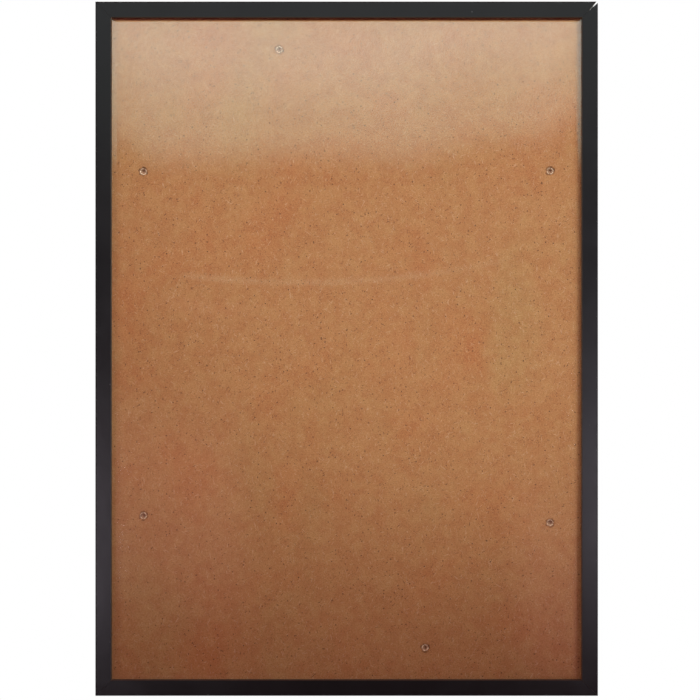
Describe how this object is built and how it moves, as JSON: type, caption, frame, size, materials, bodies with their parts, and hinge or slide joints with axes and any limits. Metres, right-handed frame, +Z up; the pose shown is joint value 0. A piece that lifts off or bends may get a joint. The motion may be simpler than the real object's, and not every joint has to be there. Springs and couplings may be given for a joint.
{
  "type": "picture frame",
  "caption": "Slim square-edged black poster frame with mitred rails, a clear sheet and a hardboard back held in by riveted turn springs, for hanging upright or across.",
  "frame": {"origin": "centre of the rails' back plane, which hangs against the wall", "axes": "+Z up with the frame hung upright, the front faces -Y, +Y into the wall, +X to the right seen from the front"},
  "size_m": [0.524, 0.024, 0.724],
  "materials": {
    "black_foil": "fibreboard wrapped in satin black foil",
    "clear_plastic": "clear, glossy, slightly wavy",
    "hardboard": "smooth brown hardboard with dark specks",
    "spring_steel": "bright spring steel",
    "plated_steel": "nickel-plated",
    "wire_steel": "bare steel"
  },
  "bodies": {
    "frame": {"top_rail": "black_foil", "bottom_rail": "black_foil", "left_rail": "black_foil", "right_rail": "black_foil", "clear_sheet": "clear_plastic", "back_panel": "hardboard", "rivet_top": "plated_steel", "rivet_bottom": "plated_steel", "rivet_left_upper": "plated_steel", "rivet_left_lower": "plated_steel", "rivet_right_upper": "plated_steel", "rivet_right_lower": "plated_steel", "hanger_top": "plated_steel", "hanger_left": "plated_steel", "hanger_nail_top_1": "wire_steel", "hanger_nail_top_2": "wire_steel", "hanger_nail_left_1": "wire_steel", "hanger_nail_left_2": "wire_steel", "v_nail_top_left": "wire_steel", "v_nail_right_top": "wire_steel", "v_nail_bottom_right": "wire_steel", "v_nail_left_bottom": "wire_steel"},
    "spring_top": {"turn_spring_top": "spring_steel"},
    "spring_bottom": {"turn_spring_bottom": "spring_steel"},
    "spring_left_upper": {"turn_spring_left_upper": "spring_steel"},
    "spring_left_lower": {"turn_spring_left_lower": "spring_steel"},
    "spring_right_upper": {"turn_spring_right_upper": "spring_steel"},
    "spring_right_lower": {"turn_spring_right_lower": "spring_steel"}
  },
  "joints": [
    {"name": "turn_top", "type": "hinge", "parent": "frame", "child": "spring_top", "pos_m": [-0.0705, -0.0124, 0.3125], "axis": [0, 1, 0], "continuous": true},
    {"name": "turn_bottom", "type": "hinge", "parent": "frame", "child": "spring_bottom", "pos_m": [0.082, -0.0124, -0.3125], "axis": [0, 1, 0], "continuous": true},
    {"name": "turn_left_upper", "type": "hinge", "parent": "frame", "child": "spring_left_upper", "pos_m": [-0.2125, -0.0124, 0.185], "axis": [0, 1, 0], "continuous": true},
    {"name": "turn_left_lower", "type": "hinge", "parent": "frame", "child": "spring_left_lower", "pos_m": [-0.2125, -0.0124, -0.1745], "axis": [0, 1, 0], "continuous": true},
    {"name": "turn_right_upper", "type": "hinge", "parent": "frame", "child": "spring_right_upper", "pos_m": [0.2125, -0.0124, 0.1855], "axis": [0, 1, 0], "continuous": true},
    {"name": "turn_right_lower", "type": "hinge", "parent": "frame", "child": "spring_right_lower", "pos_m": [0.2125, -0.0124, -0.182], "axis": [0, 1, 0], "continuous": true}
  ]
}
